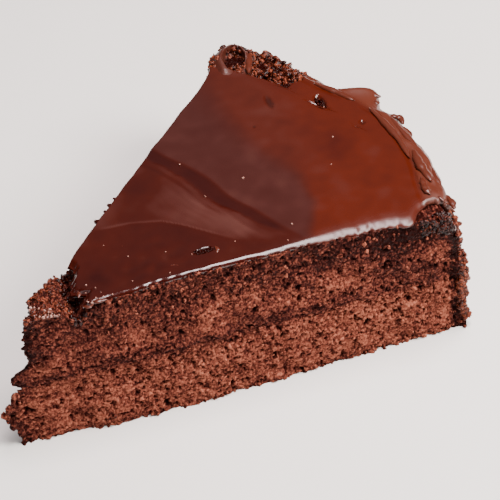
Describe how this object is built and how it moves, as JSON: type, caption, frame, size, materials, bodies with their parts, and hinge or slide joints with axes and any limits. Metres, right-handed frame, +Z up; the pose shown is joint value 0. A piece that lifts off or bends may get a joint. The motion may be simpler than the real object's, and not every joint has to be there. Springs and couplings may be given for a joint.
{
  "type": "sachertorte slice",
  "caption": "Wedge slice of a chocolate torte: sponge layers with a thin jam filling under a glossy poured chocolate glaze, crumbly on both cuts and at the tip.",
  "frame": {"origin": "centre of the bounding box in plan, on the surface that the slice rests on", "axes": "+X from the tip to the rim along the middle of the wedge, +Z up, so -Y is the side of the cut that the picture shows"},
  "size_m": [0.1355, 0.1019, 0.0429],
  "materials": {
    "lower_crumb": "open crumb",
    "upper_crumb": "moist open crumb",
    "jam": "sticky",
    "chocolate": "glossy glaze"
  },
  "bodies": {
    "root": {"lower_sponge": "lower_crumb", "jam_filling": "jam", "upper_sponge": "upper_crumb", "chocolate_glaze": "chocolate"}
  },
  "joints": []
}
